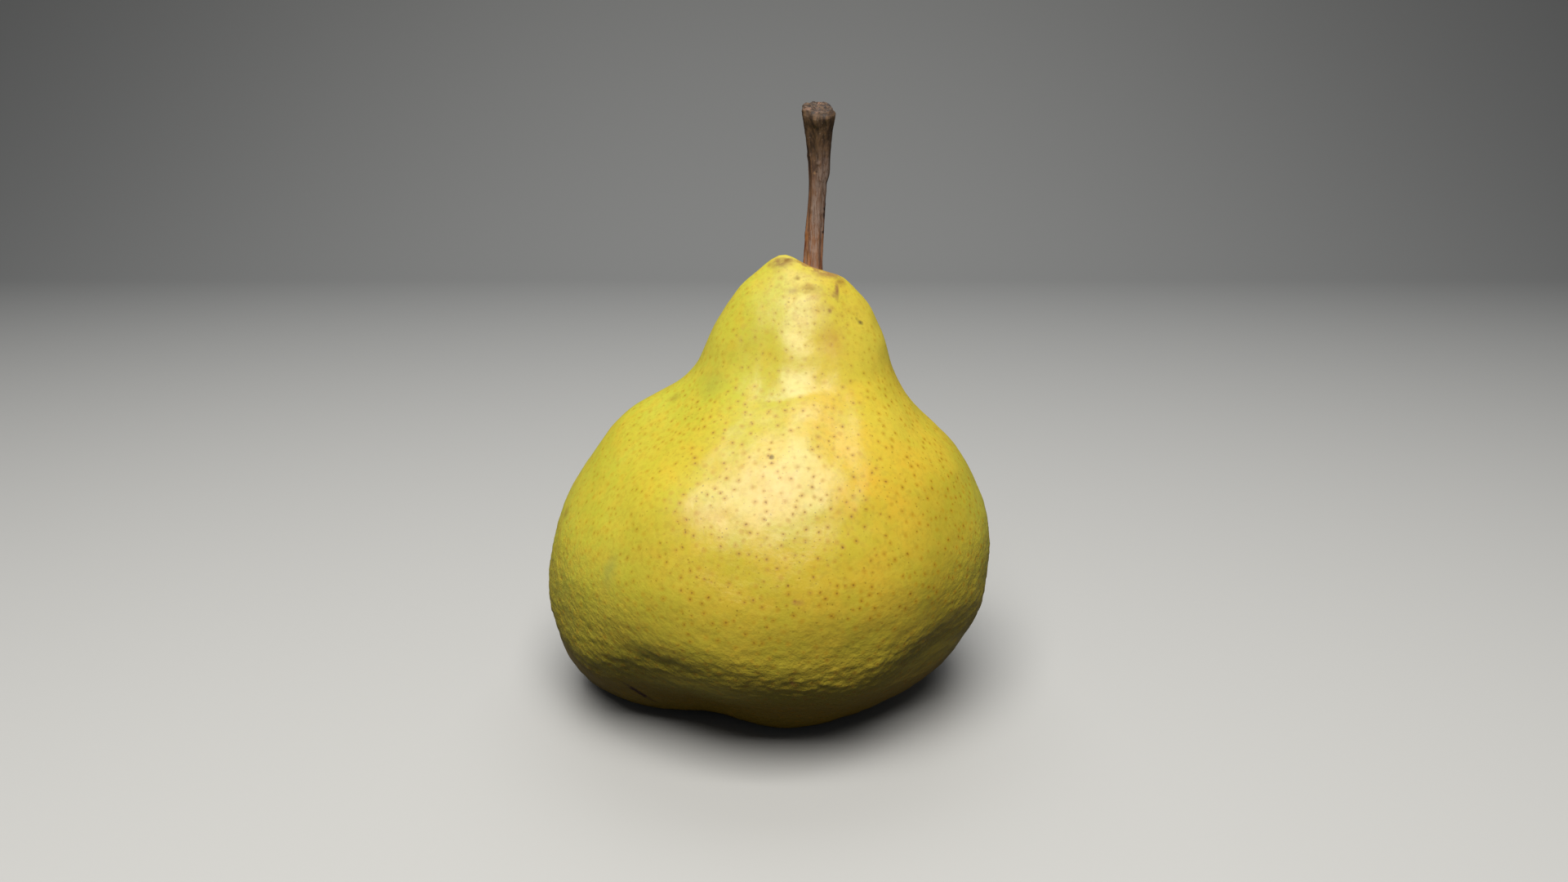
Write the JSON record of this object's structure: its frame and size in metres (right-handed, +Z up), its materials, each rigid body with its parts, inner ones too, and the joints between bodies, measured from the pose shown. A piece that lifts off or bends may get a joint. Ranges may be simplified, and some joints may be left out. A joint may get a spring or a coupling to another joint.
{
  "type": "pear",
  "caption": "Whole ripe pear with a broad lobed base, a leaning neck, a woody stem and a dried calyx below, standing upright.",
  "frame": {"origin": "on the ground, under the middle of the pear's bounding box", "axes": "+Z up towards the stem, -Y the pear's front, +X to the right seen from the front"},
  "size_m": [0.0762, 0.0753, 0.0997],
  "materials": {
    "skin": "smooth fruit skin with a soft sheen, yellow-green with small russet dots",
    "stem_wood": "dry ridged bark, matt",
    "dried_calyx": "dry and papery, matt"
  },
  "bodies": {
    "root": {"fruit": "skin", "stem": "stem_wood", "calyx": "dried_calyx"}
  },
  "joints": []
}
